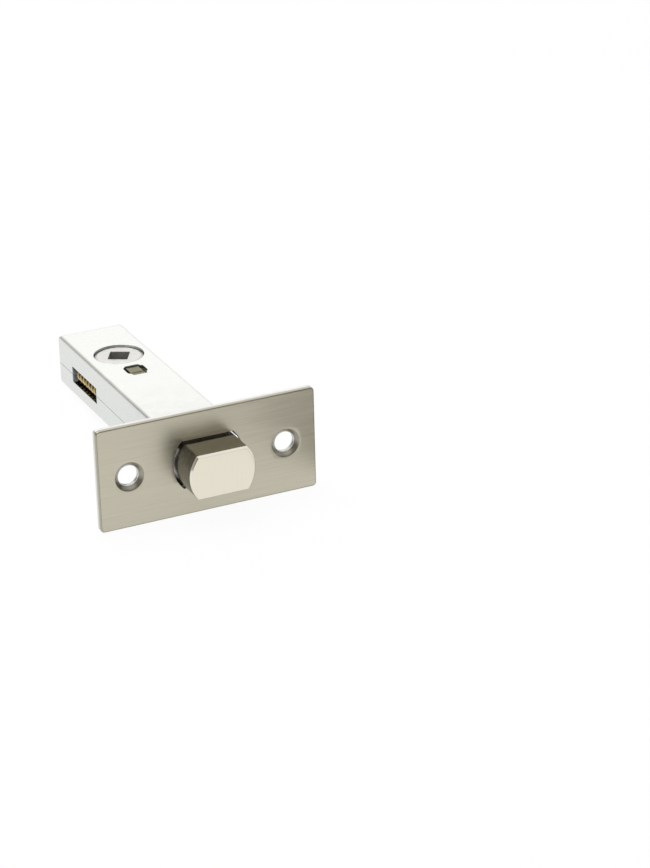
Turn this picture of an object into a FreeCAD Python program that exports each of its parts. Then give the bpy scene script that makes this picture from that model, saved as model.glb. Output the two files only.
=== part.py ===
"""Tubular deadbolt with a 57 mm backset, built in millimetres.

X runs along the forend's long side, Y from the forend's front face to the back of the case,
and Z along the follower's axis. The origin is the centre of the forend's front face, midway
between its two screw holes. The bolt is modelled thrown.
"""

import FreeCAD
import Part
import math
import os

V = FreeCAD.Vector
X_AXIS = V(1, 0, 0)
Y_AXIS = V(0, 1, 0)
Z_AXIS = V(0, 0, 1)

# Forend: a satin nickel cover over a zinc plated base plate
forend_length = 57.0
forend_width = 26.4
forend_corner_r = 1.0
cover_t = 1.0
cover_edge_chamfer = 0.3
base_t = 1.0
screw_spacing = 41.0
screw_hole_d = 5.1
countersink_d = 7.4

# Motion: a quarter turn of the follower moves the bolt by its throw
backset = 57.0
bolt_throw = 9.0
swing = 90.0

# Bolt head: a round bar with two flats
bolt_flats = 11.3
bolt_side_gap = 0.35
bolt_run_gap = 0.15
bolt_chamfer = 0.5
bolt_round_length = 16.0
bolt_length = 31.0
shank_side_gap = 0.35
cover_opening_gap = 0.5

# Case: one sheet folded round the bolt, its edges meeting in a seam on the left
case_wall = 1.15
case_behind = 20.3
case_bend_r = 1.4
seam_z = -0.8
seam_gap = 0.12
fold_gap = 0.2
case_fit_gap = 0.05
relief_side_gap = 0.4
relief_corner_r = 1.0
relief_end_gap = 1.0

# Window in the left side, with a tab bent inwards at each end
window_ahead = 4.6
window_behind = 9.3
window_z = -0.75
window_side_gap = 0.25
tab_side_gap = 0.1
tab_reach = 4.05

# Follower
journal_gap = 0.1
boss_recess = 0.3
boss_chamfer = 0.8
boss_chamfer_depth = 0.45
spindle_square = 5.0
spindle_corner_r = 0.3
spindle_angle = -30.0
flange_side_gap = 0.8
flange_lap = 0.5
flange_t = 1.25
end_float = 0.15
hub_wall = 0.87
finger_tip_r = 1.0
finger_neck = 1.7
finger_top_gap = 0.5
finger_wall_gap = 0.436
lobe_bow = 0.55
lobe_overlap = 1.6

# Detent spring, lying in the window beside the follower
spring_d = 3.7
wire_d = 0.8
wire_sides = 8
spring_pitch = 1.9
spring_sink = 0.5
spring_end_gap = 0.05
spring_flat_gap = 0.05

# Bolt tail, a folded strip riveted to the bolt head
tail_t = 1.5
tail_side_gap = 0.4
tail_flange_gap = 0.5
tail_shoulder_gap = 0.2
tail_overlap = 11.0
web_gap = 0.3
web_lap = 0.7
web_shoulder = 2.6
tail_bend_r = 0.4
notch_gap = 0.5
notch_head_gap = 0.25
travel_gap = 0.9
tail_bridge = 4.0
rivet_d = 3.0
rivet_head_d = 5.2
rivet_head_h = 0.9
rivet_spacing = 8.0
rivet_foot_d = 4.4
rivet_foot_t = 0.7

# Guide block, staked through the cross slots in the top and bottom of the case
block_gap = 0.9
slot_side_gap = 1.4
slot_length = 5.1
slot_corner_r = 0.5
tenon_width = 3.4
tenon_gap = 0.2
tenon_recess = 0.35
tenon_groove = 0.5
column_shoulder = 0.85
block_width = 11.0
block_length = 5.0
column_gap = 0.35

# Two faces closer than this are taken as one
touch = 1e-6

# The finger's reach sets the inside of the case, and the case sets the bolt's diameter
forend_t = cover_t + base_t
finger_reach = bolt_throw / 2 / math.sin(math.radians(swing / 2))
inner_half_w = finger_reach + finger_tip_r + finger_wall_gap
inner_half_h = bolt_flats / 2 + bolt_run_gap
case_width = 2 * (inner_half_w + case_wall)
case_height = 2 * (inner_half_h + case_wall)
case_back_y = backset + case_behind
bend_inner_r = case_bend_r - case_wall
bolt_d = case_width - 2 * bolt_side_gap
bolt_front_y = -bolt_throw
bolt_round_end = bolt_front_y + bolt_round_length
bolt_back_y = bolt_front_y + bolt_length
shank_half_w = inner_half_w - shank_side_gap
relief_half_h = math.sqrt((bolt_d / 2) ** 2 - (inner_half_w - relief_side_gap) ** 2)

# The spring lies along the window, and the follower's detent flats face it
window_half_h = spring_d / 2 + window_side_gap
window_front_y = backset - window_ahead
window_rear_y = backset + window_behind
spring_r = spring_d / 2
spring_x = -case_width / 2 + spring_sink + spring_r
detent_flat = -(spring_x + spring_r) - spring_flat_gap
lobe_r = detent_flat + lobe_bow

# Follower and tail share the height between the follower's two flanges
flange_r = inner_half_w - flange_side_gap
follower_hole_r = flange_r - flange_lap
hub_r = spindle_square * math.sqrt(0.5) + hub_wall
flange_inner_z = inner_half_h - end_float - flange_t
tail_top_z = flange_inner_z - tail_flange_gap
tail_z = tail_top_z - tail_t
finger_half_h = tail_z - finger_top_gap
finger_y = backset - bolt_throw / 2
tail_half_w = inner_half_w - tail_side_gap
tail_front_y = bolt_back_y - tail_overlap + tail_shoulder_gap
opening_half_w = hub_r + web_gap
opening_front_y = backset - bolt_throw - hub_r - travel_gap
opening_rear_y = backset + hub_r + travel_gap
tail_back_y = opening_rear_y + tail_bridge
notch_half = finger_tip_r + notch_gap
web_half = notch_half + web_shoulder

# The guide block stands just ahead of the follower's flanges
column_length = slot_length + 2 * column_shoulder
block_y = backset - flange_r - block_gap - column_length / 2
slot_half_w = tenon_width / 2 + slot_side_gap


def box(x0, x1, y0, y1, z0, z1):
    """A box between two corners."""
    return Part.makeBox(x1 - x0, y1 - y0, z1 - z0, V(x0, y0, z0))


def rod_y(radius, x, z, y0, y1):
    """A round rod along Y."""
    return Part.makeCylinder(radius, y1 - y0, V(x, y0, z), Y_AXIS)


def rod_z(radius, x, y, z0, z1):
    """A round rod along Z."""
    return Part.makeCylinder(radius, z1 - z0, V(x, y, z0), Z_AXIS)


def rounded_bar(width, height, radius, y0, y1):
    """A bar along Y whose section is a rectangle with round corners."""
    bar = box(-width / 2, width / 2, y0, y1, -height / 2, height / 2)
    return bar.makeFillet(radius, edges_along(bar, Y_AXIS))


def edges_along(shape, axis):
    """The straight edges of a shape that run along one axis."""
    straight = [edge for edge in shape.Edges if isinstance(edge.Curve, Part.Line)]
    return [edge for edge in straight if abs(edge.Curve.Direction.dot(axis)) > 1 - touch]


def double_d(diameter, flats, y0, y1):
    """A round bar along Y with a flat on its top and on its bottom."""
    bar = rod_y(diameter / 2, 0, 0, y0, y1)
    return bar.common(box(-diameter, diameter, y0, y1, -flats / 2, flats / 2))


def quarter_bend(centre, axis, start, length, inner, outer):
    """A quarter of a tube: a sheet's bend, from the start direction a quarter turn about the axis."""
    turned = axis.cross(start)
    middle = (start + turned).normalize()
    edges = [
        Part.LineSegment(centre + start * inner, centre + start * outer).toShape(),
        Part.Arc(centre + start * outer, centre + middle * outer, centre + turned * outer).toShape(),
        Part.LineSegment(centre + turned * outer, centre + turned * inner).toShape(),
        Part.Arc(centre + turned * inner, centre + middle * inner, centre + start * inner).toShape(),
    ]
    return Part.Face(Part.Wire(edges)).extrude(axis * length)


def screw_places():
    """The x of each screw hole."""
    return [-screw_spacing / 2, screw_spacing / 2]


def make_forend_cover():
    """Front plate: round edges, countersunk screw holes and the bolt's opening."""
    plate = rounded_bar(forend_length, forend_width, forend_corner_r, 0, cover_t)
    front = [edge for edge in plate.Edges if edge.BoundBox.YMax < touch]
    plate = plate.makeChamfer(cover_edge_chamfer, front)
    gap = 2 * cover_opening_gap
    plate = plate.cut(double_d(bolt_d + gap, bolt_flats + gap, 0, cover_t))
    cone_back_r = countersink_d / 2 - cover_t
    for x in screw_places():
        cone = Part.makeCone(countersink_d / 2, cone_back_r, cover_t, V(x, 0, 0), Y_AXIS)
        plate = plate.cut(cone.fuse(rod_y(screw_hole_d / 2, x, 0, 0, cover_t)))
    return plate


def make_forend_base():
    """Plate behind the cover, with the opening that the front end of the case is pressed into."""
    plate = rounded_bar(forend_length, forend_width, forend_corner_r, cover_t, forend_t)
    gap = 2 * case_fit_gap
    opening_r = case_bend_r + case_fit_gap
    plate = plate.cut(rounded_bar(case_width + gap, case_height + gap, opening_r, cover_t, forend_t))
    for x in screw_places():
        plate = plate.cut(rod_y(screw_hole_d / 2, x, 0, cover_t, forend_t))
    return plate


def folded_tube(y0, y1):
    """The case's four walls as a tube with round bends."""
    outer = rounded_bar(case_width, case_height, case_bend_r, y0, y1)
    inner = rounded_bar(2 * inner_half_w, 2 * inner_half_h, bend_inner_r, y0, y1)
    return outer.cut(inner)


def window_tab(face_y, towards):
    """A tab bent inwards from the left wall. Its face to the spring is at face_y."""
    centre_x = -case_width / 2 + case_bend_r
    centre_y = face_y - towards * case_bend_r
    low_z = window_z - window_half_h + tab_side_gap
    height = 2 * (window_half_h - tab_side_gap)
    start = V(-1, 0, 0) if towards < 0 else Y_AXIS
    bend = quarter_bend(V(centre_x, centre_y, low_z), Z_AXIS, start, height, bend_inner_r, case_bend_r)
    y = sorted((face_y, face_y - towards * case_wall))
    leg = box(centre_x, -case_width / 2 + tab_reach, y[0], y[1], low_z, low_z + height)
    return bend.fuse(leg)


def make_case():
    """The folded sheet: walls, side reliefs, window with tabs, bearing holes, slots, flap and seam."""
    case = folded_tube(cover_t, case_back_y)

    # Both side walls stop short of the forend, where the round part of the bolt is wider than the inside
    relief_start = cover_t - relief_corner_r
    relief_end = bolt_round_length + relief_end_gap
    relief = box(-case_width, case_width, relief_start, relief_end, -relief_half_h, relief_half_h)
    relief = relief.makeFillet(relief_corner_r, edges_along(relief, X_AXIS))
    case = case.cut(relief)

    # Window, cut as far as the bends of its two tabs
    window = box(
        -case_width,
        -inner_half_w + bend_inner_r,
        window_front_y - case_bend_r,
        window_rear_y + case_bend_r,
        window_z - window_half_h,
        window_z + window_half_h,
    )
    case = case.cut(window)
    case = case.fuse(window_tab(window_front_y, 1))
    case = case.fuse(window_tab(window_rear_y, -1))

    # Follower bearings and cross slots, through the top and the bottom
    case = case.cut(rod_z(follower_hole_r, 0, backset, -case_height, case_height))
    slot = box(
        -slot_half_w,
        slot_half_w,
        block_y - slot_length / 2,
        block_y + slot_length / 2,
        -case_height,
        case_height,
    )
    case = case.cut(slot.makeFillet(slot_corner_r, edges_along(slot, Z_AXIS)))

    # Back flap, folded down from the top wall between the two sides
    flap_half = inner_half_w - fold_gap
    bend_y = case_back_y - case_bend_r
    bend_z = case_height / 2 - case_bend_r
    case = case.cut(box(-inner_half_w, inner_half_w, bend_y, case_back_y, bend_z, case_height))
    start = V(-flap_half, bend_y, bend_z)
    flap = quarter_bend(start, X_AXIS, Y_AXIS, 2 * flap_half, bend_inner_r, case_bend_r)
    leg = box(-flap_half, flap_half, case_back_y - case_wall, case_back_y, -inner_half_h + fold_gap, bend_z)
    case = case.fuse(flap).fuse(leg)

    # Seam along the left side, through the window's tabs as well
    seam = box(
        -case_width,
        -inner_half_w + tab_reach,
        0,
        case_back_y + fold_gap,
        seam_z - seam_gap / 2,
        seam_z + seam_gap / 2,
    )
    return case.cut(seam).removeSplitter()


def make_bolt_head():
    """Round bar with two flats. Its back half is narrowed and stepped to take the tail."""
    nose = double_d(bolt_d, bolt_flats, bolt_front_y, bolt_round_end)
    front = [edge for edge in nose.Edges if edge.BoundBox.YMax < bolt_front_y + touch]
    nose = nose.makeChamfer(bolt_chamfer, front)
    shank = double_d(bolt_d, bolt_flats, bolt_round_end, bolt_back_y)
    sides = box(-shank_half_w, shank_half_w, bolt_round_end, bolt_back_y, -bolt_flats, bolt_flats)
    shank = shank.common(sides)
    head = nose.fuse(shank)
    head = head.cut(box(-bolt_d, bolt_d, bolt_back_y - tail_overlap, bolt_back_y, tail_z, bolt_flats))
    for x in rivet_places():
        head = head.cut(rod_z(rivet_d / 2, x, rivet_y(), -bolt_flats / 2, tail_z))
        head = head.cut(rivet_foot(x))
    return head.removeSplitter()


def rivet_places():
    """The x of each tail rivet."""
    return [-rivet_spacing / 2, rivet_spacing / 2]


def rivet_y():
    """The rivets stand in the middle of the tail's overlap with the head."""
    return bolt_back_y - tail_overlap / 2


def rivet_foot(x):
    """The disc that a rivet is spread into, flush with the head's bottom flat."""
    low = -bolt_flats / 2
    return rod_z(rivet_foot_d / 2, x, rivet_y(), low, low + rivet_foot_t)


def make_rivet(x):
    """Solid rivet: flat head on the tail, shank, and foot in the bolt head."""
    shank = rod_z(rivet_d / 2, x, rivet_y(), -bolt_flats / 2, tail_top_z)
    head = rod_z(rivet_head_d / 2, x, rivet_y(), tail_top_z, tail_top_z + rivet_head_h)
    return shank.fuse(rivet_foot(x)).fuse(head).removeSplitter()


def make_bolt_tail():
    """Strip with an opening round the follower, a slot for the guide block and a notched web."""
    strip = box(-tail_half_w, tail_half_w, tail_front_y, tail_back_y, tail_z, tail_top_z)
    strip = strip.makeFillet(slot_corner_r, edges_along(strip, Z_AXIS))
    opening = box(-opening_half_w, opening_half_w, opening_front_y, opening_rear_y, tail_z, tail_top_z)
    opening = opening.makeFillet(relief_corner_r, edges_along(opening, Z_AXIS))
    column_half = tenon_width / 2 + column_gap
    guide_front_y = block_y - column_length / 2 - bolt_throw - travel_gap
    guide_rear_y = opening_rear_y - relief_corner_r
    guide = box(-column_half, column_half, guide_front_y, guide_rear_y, tail_z, tail_top_z)
    strip = strip.cut(opening).cut(guide)

    # Web bent down beside the follower, with the finger's notch open downwards
    bend_r = tail_bend_r + tail_t
    x0 = opening_half_w
    y0 = finger_y - web_half
    y1 = finger_y + web_half
    web_low_z = -finger_half_h - web_lap
    strip = strip.cut(box(x0, x0 + bend_r, y0, y1, tail_z, tail_top_z))
    start = V(x0 + bend_r, y0, tail_top_z - bend_r)
    bend = quarter_bend(start, Y_AXIS, V(-1, 0, 0), y1 - y0, tail_bend_r, bend_r)
    web = box(x0, x0 + tail_t, y0, y1, web_low_z, tail_top_z - bend_r)
    notch_top_z = finger_half_h + notch_head_gap
    notch = box(x0, x0 + bend_r, finger_y - notch_half, finger_y + notch_half, web_low_z, notch_top_z)
    strip = strip.fuse(bend).fuse(web.cut(notch)).cut(notch)
    for x in rivet_places():
        strip = strip.cut(rod_z(rivet_d / 2, x, rivet_y(), tail_z, tail_top_z))
    return strip.removeSplitter()


def make_guide_block():
    """Block across the case with a column through the tail's slot and a staked tenon at each end."""
    body = box(
        -block_width / 2,
        block_width / 2,
        block_y - block_length / 2,
        block_y + block_length / 2,
        -inner_half_h,
        tail_z - column_gap,
    )
    column = box(
        -tenon_width / 2,
        tenon_width / 2,
        block_y - column_length / 2,
        block_y + column_length / 2,
        -inner_half_h,
        inner_half_h,
    )
    tenon_half = slot_length / 2 - tenon_gap
    tenon_end = case_height / 2 - tenon_recess
    tenon = box(
        -tenon_width / 2,
        tenon_width / 2,
        block_y - tenon_half,
        block_y + tenon_half,
        -tenon_end,
        tenon_end,
    )
    block = body.fuse(column).fuse(tenon)

    # One chisel groove across each tenon spreads it in its slot
    for side in (-1, 1):
        z = side * tenon_end
        groove = Part.makePolygon([
            V(-tenon_width, block_y - tenon_groove, z),
            V(-tenon_width, block_y + tenon_groove, z),
            V(-tenon_width, block_y, z - side * tenon_groove),
            V(-tenon_width, block_y - tenon_groove, z),
        ])
        block = block.cut(Part.Face(groove).extrude(X_AXIS * (2 * tenon_width)))
    return block.removeSplitter()


def make_follower():
    """Hub with two bearing bosses, retaining flanges, bolt finger, detent flats and a square hole."""
    journal_r = follower_hole_r - journal_gap
    boss_end = case_height / 2 - boss_recess
    flange_z = inner_half_h - end_float
    profile = [
        (0, -boss_end),
        (journal_r - boss_chamfer, -boss_end),
        (journal_r, -boss_end + boss_chamfer_depth),
        (journal_r, -flange_z),
        (flange_r, -flange_z),
        (flange_r, -flange_inner_z),
        (hub_r, -flange_inner_z),
    ]
    profile += [(r, -z) for r, z in reversed(profile)]
    points = [V(r, backset, z) for r, z in profile]
    points.append(points[0])
    turned = Part.Face(Part.makePolygon(points)).revolve(V(0, backset, 0), Z_AXIS, 360)

    # Detent lobe: two flats at right angles, each facing the spring at one end of the swing
    low = window_z - spring_r
    high = window_z + spring_r
    corner = box(-detent_flat, lobe_overlap, backset - lobe_overlap, backset + detent_flat, low, high)
    lobe = rod_z(lobe_r, 0, backset, low, high).common(corner)
    turned = turned.fuse(lobe)

    # Finger towards the tail's notch, at half the swing before square to the case
    low = -finger_half_h
    neck = box(0, finger_reach, backset - finger_neck / 2, backset + finger_neck / 2, low, finger_half_h)
    finger = neck.fuse(rod_z(finger_tip_r, finger_reach, backset, low, finger_half_h))
    finger.rotate(V(0, backset, 0), Z_AXIS, -swing / 2)
    follower = turned.fuse(finger)

    side = spindle_square / 2
    hole = box(-side, side, backset - side, backset + side, -case_height, case_height)
    hole = hole.makeFillet(spindle_corner_r, edges_along(hole, Z_AXIS))
    hole.rotate(V(0, backset, 0), Z_AXIS, spindle_angle)
    return follower.cut(hole).removeSplitter()


def make_detent_spring():
    """Coil spring along Y between the window's tabs, with ends ground flat and eight-sided wire."""
    y0 = window_front_y + spring_end_gap
    y1 = window_rear_y - spring_end_gap
    length = y1 - y0
    coil_r = spring_r - wire_d / 2
    helix = Part.makeHelix(spring_pitch, length + spring_pitch, coil_r)
    turns = [math.radians(360 * (side + 0.5) / wire_sides) for side in range(wire_sides)]
    corner_r = wire_d / 2 / math.cos(math.pi / wire_sides)
    corners = [V(coil_r + corner_r * math.cos(a), 0, corner_r * math.sin(a)) for a in turns]
    section = Part.makePolygon(corners + corners[:1])
    coil = Part.Wire(helix.Edges).makePipeShell([section], True, True)
    coil.translate(V(0, 0, -spring_pitch / 2))
    coil.rotate(V(0, 0, 0), X_AXIS, -90)
    coil.translate(V(spring_x, y0, window_z))
    cell = box(-case_width, 0, y0, y1, -case_height, case_height)
    return coil.common(cell)


def write(name, shape):
    """Write one node's solid and print its volume."""
    shape.exportStep("parts/" + name + ".step")
    print(name, "solids", len(shape.Solids), "valid", shape.isValid(), "mm3", round(shape.Volume, 2))


def main():
    os.makedirs("parts", exist_ok=True)
    write("forend_cover", make_forend_cover())
    write("forend_base", make_forend_base())
    write("case", make_case())
    write("bolt_head", make_bolt_head())
    write("bolt_tail", make_bolt_tail())
    left_x, right_x = rivet_places()
    write("tail_rivet_left", make_rivet(left_x))
    write("tail_rivet_right", make_rivet(right_x))
    write("follower", make_follower())
    write("detent_spring", make_detent_spring())
    write("guide_block", make_guide_block())


main()
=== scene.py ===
import bmesh
import bpy
import numpy as np
from bpy.props import FloatProperty, FloatVectorProperty, IntProperty, PointerProperty
from mathutils import Matrix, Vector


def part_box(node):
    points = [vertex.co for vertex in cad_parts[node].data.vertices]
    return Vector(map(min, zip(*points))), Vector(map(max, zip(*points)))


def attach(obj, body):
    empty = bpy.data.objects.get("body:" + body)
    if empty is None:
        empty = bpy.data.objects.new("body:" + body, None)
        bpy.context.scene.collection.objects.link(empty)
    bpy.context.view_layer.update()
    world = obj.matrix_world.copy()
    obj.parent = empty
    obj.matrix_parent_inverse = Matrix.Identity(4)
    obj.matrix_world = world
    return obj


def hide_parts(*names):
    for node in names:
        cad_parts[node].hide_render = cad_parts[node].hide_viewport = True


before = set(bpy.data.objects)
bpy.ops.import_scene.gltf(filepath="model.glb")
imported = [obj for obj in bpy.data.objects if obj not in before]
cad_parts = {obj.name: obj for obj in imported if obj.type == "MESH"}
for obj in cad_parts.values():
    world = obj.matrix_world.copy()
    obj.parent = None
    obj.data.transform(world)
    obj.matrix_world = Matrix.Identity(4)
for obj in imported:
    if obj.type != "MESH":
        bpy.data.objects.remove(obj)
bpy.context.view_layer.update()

bl_info = {
    "name": "Tubular Deadbolt",
    "version": (1, 0, 0),
    "blender": (4, 5, 0),
    "location": "3D View > Sidebar > Deadbolt",
    "description": "Forend, folded case, bolt, follower, detent spring and guide block of a tubular deadbolt",
    "category": "Object",
}

MM = 0.001
COVER_LOW, COVER_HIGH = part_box("forend_cover")
BASE_LOW, BASE_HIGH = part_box("forend_base")
CASE_LOW, CASE_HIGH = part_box("case")
BOLT_LOW, BOLT_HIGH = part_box("bolt_head")
SPRING_LOW, SPRING_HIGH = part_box("detent_spring")
BLOCK_LOW, BLOCK_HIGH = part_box("guide_block")
FOLLOWER_LOW, FOLLOWER_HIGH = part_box("follower")


def length_prop(name, description, default):
    """A length that a user may change."""
    return FloatProperty(name=name, description=description, default=default, unit="LENGTH", precision=5)


def colour_prop(name, description, default):
    """A finish's colour that a user may change."""
    return FloatVectorProperty(
        name=name, description=description, default=default, size=3, min=0, max=1, subtype="COLOR"
    )


class ForendSizes(bpy.types.PropertyGroup):
    """Sizes of the two plates of the forend."""

    length: length_prop("Length", "Long side of both plates", COVER_HIGH[0] - COVER_LOW[0])
    width: length_prop("Width", "Short side of both plates", COVER_HIGH[2] - COVER_LOW[2])
    corner: length_prop("Corner radius", "Round corners of both plates", 1.0 * MM)
    cover_wall: length_prop("Cover thickness", "Thickness of the front plate", COVER_HIGH[1] - COVER_LOW[1])
    base_wall: length_prop("Base thickness", "Thickness of the plate behind it", BASE_HIGH[1] - BASE_LOW[1])
    cover_edge: length_prop("Cover edge", "Rounding of the front plate's face", 0.3 * MM)
    base_edge: length_prop("Base edge", "Rounding of the back plate's edges", 0.1 * MM)
    screw_spacing: length_prop("Screw spacing", "Distance between the screw holes", 41.0 * MM)
    screw_hole: length_prop("Screw hole", "Diameter of each screw hole", 5.1 * MM)
    countersink: length_prop("Countersink", "Diameter of the countersink at the face", 7.4 * MM)
    opening_across: length_prop("Opening diameter", "Round sides of the bolt's opening", 18.2 * MM)
    opening_flats: length_prop("Opening flats", "Height of the bolt's opening", 12.3 * MM)
    case_gap: length_prop("Case gap", "Gap round the case in the back plate", 0.05 * MM)


class CaseSizes(bpy.types.PropertyGroup):
    """Sizes of the folded case."""

    width: length_prop("Width", "Case from side to side", CASE_HIGH[0] - CASE_LOW[0])
    height: length_prop("Height", "Case from bottom to top", CASE_HIGH[2] - CASE_LOW[2])
    front: length_prop("Front", "Where the case starts behind the cover", CASE_LOW[1])
    back: length_prop("Back", "Where the case ends", CASE_HIGH[1])
    wall: length_prop("Wall", "Thickness of the sheet", 1.15 * MM)
    bend: length_prop("Bend radius", "Outer radius of every bend", 1.4 * MM)
    edge: length_prop("Edge", "Rounding of the sheet's cut edges", 0.09 * MM)
    seam_z: length_prop("Seam height", "Middle of the seam on the left side", -0.8 * MM)
    seam_gap: length_prop("Seam gap", "Width of the seam", 0.05 * MM)
    relief_half: length_prop("Relief half height", "Side relief for the bolt's round part", 4.382 * MM)
    relief_end: length_prop("Relief end", "Where both side reliefs end", 17.0 * MM)
    relief_corner: length_prop("Relief corner", "Radius of the reliefs' corners", 1.0 * MM)
    window_front: length_prop("Window front", "Spring face of the front tab", 52.4 * MM)
    window_rear: length_prop("Window rear", "Spring face of the rear tab", 66.3 * MM)
    window_half: length_prop("Window half height", "Half the height of the spring's window", 2.1 * MM)
    window_z: length_prop("Window height", "Middle of the spring's window", -0.75 * MM)
    tab_gap: length_prop("Tab gap", "Gap above and below each tab", 0.1 * MM)
    # Painted shade: how dark the bent tabs in the window are made
    tab_shade: FloatProperty(name="Tab shade", description="How dark the bent tabs are painted as shade", default=1.0)
    seam_dull: FloatProperty(name="Seam dullness", description="How dull the seam's edges are", default=0.3)
    tab_end: length_prop("Tab reach", "How far each tab reaches in from the outside", 4.05 * MM)
    bearing: length_prop("Bearing hole", "Diameter of the holes for the follower", 13.0 * MM)
    slot_half: length_prop("Slot half width", "Half the width of the cross slots", 2.7 * MM)
    slot_length: length_prop("Slot length", "Size of the cross slots along the case", 5.1 * MM)
    slot_corner: length_prop("Slot corner", "Corner radius of the cross slots", 1.3 * MM)
    notch_half: length_prop("Slot notch half width", "Half the width of the notches for the tenon", 1.95 * MM)
    notch_front: length_prop("Slot front notch", "Depth of the notch ahead of the tenon", 0.95 * MM)
    notch_rear: length_prop("Slot rear notch", "Depth of the notch behind the tenon", 0.35 * MM)
    flap_gap: length_prop("Flap gap", "Gap between the back flap and the sides", 0.03 * MM)
    flap_end_gap: length_prop("Flap end gap", "Gap between the back flap and the bottom", 0.2 * MM)


class BoltSizes(bpy.types.PropertyGroup):
    """Sizes of the double-D bolt head."""

    across: length_prop("Diameter", "Round sides of the bolt", BOLT_HIGH[0] - BOLT_LOW[0])
    flats: length_prop("Flats", "Height over the two flats", 11.3 * MM)
    front: length_prop("Front", "Where the bolt's face stands", BOLT_LOW[1])
    round_end: length_prop("Round end", "Where the full section ends", 7.0 * MM)
    step: length_prop("Step", "Where the seat of the tail starts", 11.0 * MM)
    back: length_prop("Back", "Where the shank ends", BOLT_HIGH[1])
    chamfer: length_prop("Chamfer", "Chamfer round the face", 0.5 * MM)
    edge: length_prop("Edge", "Rounding between the flats and the round sides", 0.12 * MM)
    shank_half: length_prop("Shank half width", "Half the width of the shank", 7.45 * MM)
    seat: length_prop("Seat", "Height of the tail's seat", 2.4 * MM)
    # Painted shade: how much darker the flats and the round sides are made
    flats_shade: FloatProperty(name="Shaded flats", description="How dark the flats are painted as shade beside the face", default=0.2)
    sides_shade: FloatProperty(name="Shaded sides", description="How dark the round sides are painted as shade", default=0.86)


class FollowerSizes(bpy.types.PropertyGroup):
    """Sizes of the square-hole follower."""

    centre: length_prop("Backset", "Distance of its axis behind the forend's face", 57.0 * MM)
    journal: length_prop("Boss radius", "Radius of the two bearing bosses", 6.4 * MM)
    end: length_prop("End", "Height of the boss faces", FOLLOWER_HIGH[2])
    chamfer: length_prop("Boss chamfer", "Chamfer of each boss, across", 0.9 * MM)
    chamfer_depth: length_prop("Boss chamfer depth", "Chamfer of each boss, in depth", 0.36 * MM)
    flange: length_prop("Flange radius", "Radius of the flanges inside the case", 7.0 * MM)
    flange_out: length_prop("Flange outside", "Height of each flange's outer face", 5.65 * MM)
    flange_in: length_prop("Flange inside", "Height of each flange's inner face", 4.4 * MM)
    hub: length_prop("Hub radius", "Radius between the flanges", 4.406 * MM)
    square: length_prop("Square", "Side of the spindle's square hole", 5.0 * MM)
    square_corner: length_prop("Square corner", "Corner radius of the square hole", 0.3 * MM)
    square_edge: length_prop("Square edge", "Rounding where the square hole opens", 0.15 * MM)
    turned: FloatProperty(name="Square angle", description="Turn of the square", default=-30.0)
    finger_reach: length_prop("Finger reach", "Distance of the finger's round tip", 6.364 * MM)
    finger_tip: length_prop("Finger tip", "Radius of the finger's tip", 1.0 * MM)
    finger_neck: length_prop("Finger neck", "Half the width of the finger's neck", 0.85 * MM)
    finger_half: length_prop("Finger half height", "Half the height of the finger", 1.9 * MM)
    lobe: length_prop("Lobe radius", "Radius of the detent corner", 5.25 * MM)
    lobe_flat: length_prop("Lobe flat", "Distance of the two detent flats", 4.7 * MM)
    lobe_low: length_prop("Lobe low", "Lower face of the detent lobe", -2.6 * MM)
    lobe_high: length_prop("Lobe high", "Upper face of the detent lobe", 1.1 * MM)


class SpringSizes(bpy.types.PropertyGroup):
    """Sizes of the detent coil spring."""

    wire: length_prop("Wire", "Diameter of the wire", 0.8 * MM)
    across: length_prop("Diameter", "Outer diameter of the coil", SPRING_HIGH[2] - SPRING_LOW[2])
    pitch: length_prop("Pitch", "Distance from turn to turn", 1.9 * MM)
    front: length_prop("Front", "Where the coil starts", SPRING_LOW[1])
    back: length_prop("Back", "Where the coil ends", SPRING_HIGH[1])
    sides: IntProperty(name="Wire sides", description="Faces round the wire", default=14, min=8)


class BlockSizes(bpy.types.PropertyGroup):
    """Sizes of the guide block with its two staked tenons."""

    centre: length_prop("Centre", "Distance behind the forend's face", 45.7 * MM)
    body_half: length_prop("Body half width", "Half the width of the block", 5.5 * MM)
    body_length: length_prop("Body length", "Size of the block along the case", 5.0 * MM)
    body_top: length_prop("Body top", "Height of the block's top", 2.05 * MM)
    inside: length_prop("Inside", "Half the height inside the case", 5.8 * MM)
    tenon_half: length_prop("Tenon half width", "Half the width of column and tenon", 1.7 * MM)
    column_length: length_prop("Column length", "Size of the column along the case", 6.8 * MM)
    tenon_front: length_prop("Tenon front", "Where the tenon starts behind the forend's face", 42.45 * MM)
    tenon_back: length_prop("Tenon back", "Where the tenon ends", 48.1 * MM)
    groove_y: length_prop("Groove place", "Where the chisel groove crosses the tenon", 44.35 * MM)
    tenon_end: length_prop("Tenon end", "Height of the tenon's end", BLOCK_HIGH[2])
    groove: length_prop("Groove", "Depth of the chisel groove", 0.5 * MM)
    collar_half: length_prop("Collar half width", "Half the width of the column's collar under the top", 3.4 * MM)
    collar_length: length_prop("Collar length", "Size of the collar along the case", 4.8 * MM)
    collar_wall: length_prop("Collar thickness", "Thickness of the collar", 0.7 * MM)


class Finishes(bpy.types.PropertyGroup):
    """Colours of the finishes."""

    satin: colour_prop("Satin nickel", "Forend cover", (0.545, 0.515, 0.415))
    zinc: colour_prop("Zinc plate", "Case and back plate", (0.708, 0.730, 0.703))
    nickel: colour_prop("Polished nickel", "Bolt head", (0.775, 0.735, 0.615))
    follower: colour_prop("Follower", "Matt zinc on the follower", (0.60, 0.60, 0.575))
    wire: colour_prop("Spring wire", "Yellow passivated wire", (0.57, 0.45, 0.22))
    olive: colour_prop("Olive passivate", "Guide block", (0.185, 0.18, 0.11))
    steel: colour_prop("Steel", "Tail and rivets", (0.52, 0.52, 0.50))


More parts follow.
